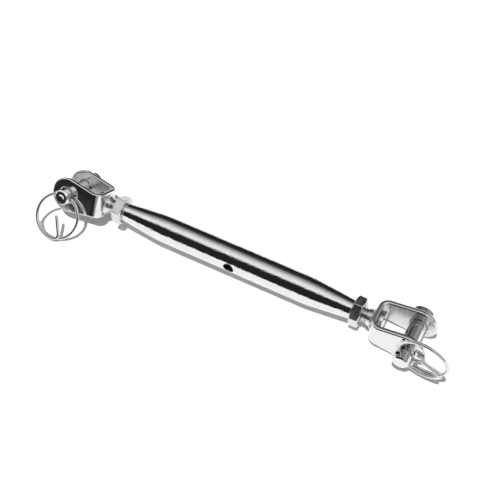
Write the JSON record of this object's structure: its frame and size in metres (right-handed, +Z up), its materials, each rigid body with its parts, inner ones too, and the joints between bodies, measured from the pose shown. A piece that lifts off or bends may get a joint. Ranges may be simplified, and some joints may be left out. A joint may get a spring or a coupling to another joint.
{
  "type": "shroud adjuster",
  "caption": "Closed-body rigging screw with a forked jaw, headed clevis pin, split ring and lock nut at each end and a tommy hole through the tapered barrel.",
  "frame": {"origin": "centre of the barrel, where the axis of the tommy hole crosses the body's axis", "axes": "+X along the body towards the right fork, +Y along the tommy hole towards the pin heads, +Z up when the piece lies on its right fork's eyes"},
  "size_m": [0.2196, 0.0434, 0.0317],
  "materials": {
    "polished_steel": "polished",
    "turned_steel": "polished",
    "spring_wire": "polished"
  },
  "bodies": {
    "barrel": {"barrel": "polished_steel"},
    "left_lock_nut": {"left_lock_nut": "turned_steel"},
    "left_stud": {"left_stud": "turned_steel"},
    "left_fork": {"left_fork": "polished_steel"},
    "left_clevis_pin": {"left_clevis_pin": "turned_steel"},
    "left_cotter_ring": {"left_cotter_ring": "spring_wire"},
    "right_lock_nut": {"right_lock_nut": "turned_steel"},
    "right_stud": {"right_stud": "turned_steel"},
    "right_fork": {"right_fork": "polished_steel"},
    "right_clevis_pin": {"right_clevis_pin": "turned_steel"},
    "right_cotter_ring": {"right_cotter_ring": "spring_wire"}
  },
  "joints": [
    {"name": "right_thread_travel", "type": "slide", "parent": "barrel", "child": "right_stud", "axis": [1, 0, 0], "range_m": [-0.003, 0.0425]},
    {"name": "right_fork_turn", "type": "hinge", "parent": "right_stud", "child": "right_fork", "pos_m": [0.07315, 0, 0], "axis": [1, 0, 0], "range_deg": [-720, 11520]},
    {"name": "right_lock_nut_travel", "type": "slide", "parent": "barrel", "child": "right_lock_nut", "axis": [1, 0, 0], "range_m": [0, 0.0025]},
    {"name": "right_clevis_pin_turn", "type": "hinge", "parent": "right_fork", "child": "right_clevis_pin", "pos_m": [0.09255, 0, 0], "axis": [0, -1, 0], "continuous": true},
    {"name": "right_cotter_ring_swing", "type": "hinge", "parent": "right_clevis_pin", "child": "right_cotter_ring", "pos_m": [0.09255, -0.013, 0], "axis": [-0.6157, 0, 0.788], "range_deg": [-172, 12]},
    {"name": "left_thread_travel", "type": "slide", "parent": "barrel", "child": "left_stud", "axis": [-1, 0, 0], "range_m": [-0.003, 0.0425]},
    {"name": "left_fork_turn", "type": "hinge", "parent": "left_stud", "child": "left_fork", "pos_m": [-0.07375, 0, 0], "axis": [1, 0, 0], "range_deg": [-720, 11520]},
    {"name": "left_lock_nut_travel", "type": "slide", "parent": "barrel", "child": "left_lock_nut", "axis": [-1, 0, 0], "range_m": [0, 0.0025]},
    {"name": "left_clevis_pin_turn", "type": "hinge", "parent": "left_fork", "child": "left_clevis_pin", "pos_m": [-0.09315, 0, 0], "axis": [0, -0.8796, 0.4756], "continuous": true},
    {"name": "left_cotter_ring_swing", "type": "hinge", "parent": "left_clevis_pin", "child": "left_cotter_ring", "pos_m": [-0.09315, -0.00915, 0.00495], "axis": [0.9986, -0.0249, -0.046], "range_deg": [-155, 15]}
  ],
  "couplings": [
    {"joint": "left_fork_turn", "follows": "right_fork_turn", "ratio": 1},
    {"joint": "right_thread_travel", "follows": "right_fork_turn", "m_per_rad": 0.00019894},
    {"joint": "left_thread_travel", "follows": "right_fork_turn", "m_per_rad": 0.00019894}
  ]
}
